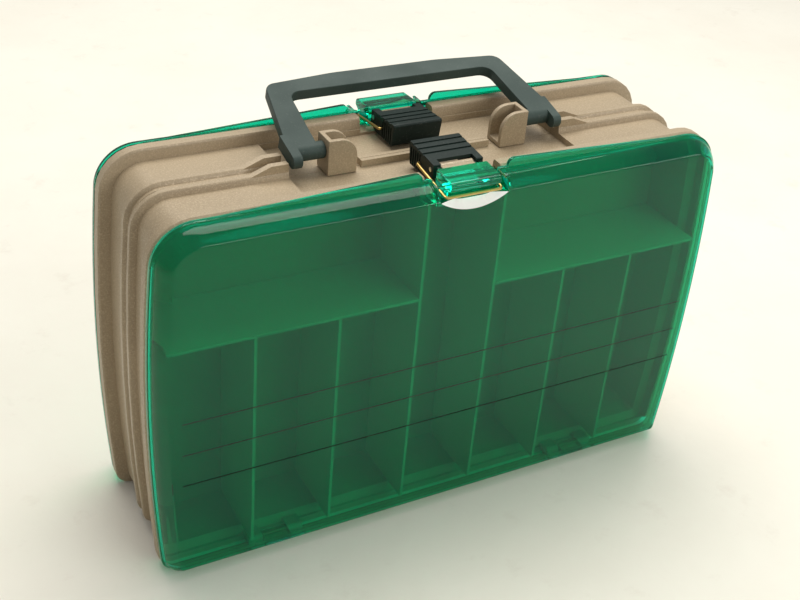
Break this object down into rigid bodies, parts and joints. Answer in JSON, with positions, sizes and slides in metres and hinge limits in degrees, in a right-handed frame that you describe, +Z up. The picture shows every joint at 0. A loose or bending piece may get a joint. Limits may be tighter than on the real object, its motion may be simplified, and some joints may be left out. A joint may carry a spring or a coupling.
{
  "type": "two-sided tackle box",
  "caption": "Two-sided fishing tackle box with clear hinged lids, divided trays back to back, draw latches on top and a folding carry handle.",
  "frame": {"origin": "on the ground under the middle of the box", "axes": "+X along the box's long side, +Z up; the front lid faces -Y"},
  "size_m": [0.325, 0.104, 0.2226],
  "materials": {
    "tan_plastic": "moulded metallic beige, satin",
    "clear_green_plastic": "clear tinted plastic, glossy",
    "tan_plate": "moulded beige, satin",
    "dark_grey_plastic": "satin moulded",
    "black_plastic": "satin moulded",
    "steel": "drawn pin",
    "brass_wire": "drawn wire"
  },
  "bodies": {
    "body": {"front_tray": "tan_plastic", "front_latch_pin": "steel", "front_hinge_pin_left": "steel", "front_hinge_pin_right": "steel", "front_partition_left": "tan_plate", "front_shelf_left": "tan_plate", "front_divider_left_1": "tan_plate", "front_divider_left_2": "tan_plate", "front_partition_right": "tan_plate", "front_shelf_right": "tan_plate", "front_divider_right_1": "tan_plate", "front_divider_right_2": "tan_plate", "back_tray": "tan_plastic", "back_latch_pin": "steel", "back_hinge_pin_left": "steel", "back_hinge_pin_right": "steel", "back_partition_left": "tan_plate", "back_shelf_left": "tan_plate", "back_divider_left_1": "tan_plate", "back_divider_left_2": "tan_plate", "back_partition_right": "tan_plate", "back_shelf_right": "tan_plate", "back_divider_right_1": "tan_plate", "back_divider_right_2": "tan_plate", "handle_bracket_left": "tan_plastic", "handle_bracket_right": "tan_plastic"},
    "front_lid": {"front_lid": "clear_green_plastic"},
    "front_latch_lever": {"front_latch_lever": "black_plastic"},
    "front_latch_bail": {"front_latch_bail": "brass_wire"},
    "back_lid": {"back_lid": "clear_green_plastic"},
    "back_latch_lever": {"back_latch_lever": "black_plastic"},
    "back_latch_bail": {"back_latch_bail": "brass_wire"},
    "handle": {"handle": "dark_grey_plastic"}
  },
  "joints": [
    {"name": "front_lid_open", "type": "hinge", "parent": "body", "child": "front_lid", "pos_m": [0, -0.03915, 0.0032], "axis": [1, 0, 0], "range_deg": [0, 110]},
    {"name": "front_latch_flip", "type": "hinge", "parent": "body", "child": "front_latch_lever", "pos_m": [0, -0.0309, 0.2035], "axis": [1, 0, 0], "range_deg": [0, 90]},
    {"name": "front_bail_swing", "type": "hinge", "parent": "front_lid", "child": "front_latch_bail", "pos_m": [0, -0.0506, 0.198], "axis": [1, 0, 0], "range_deg": [0, 110]},
    {"name": "back_lid_open", "type": "hinge", "parent": "body", "child": "back_lid", "pos_m": [0, 0.03915, 0.0032], "axis": [-1, 0, 0], "range_deg": [0, 110]},
    {"name": "back_latch_flip", "type": "hinge", "parent": "body", "child": "back_latch_lever", "pos_m": [0, 0.0309, 0.2035], "axis": [-1, 0, 0], "range_deg": [0, 90]},
    {"name": "back_bail_swing", "type": "hinge", "parent": "back_lid", "child": "back_latch_bail", "pos_m": [0, 0.0506, 0.198], "axis": [-1, 0, 0], "range_deg": [0, 45]},
    {"name": "handle_swing", "type": "hinge", "parent": "body", "child": "handle", "pos_m": [0, 0, 0.2066], "axis": [1, 0, 0], "range_deg": [0, 153.6]}
  ]
}
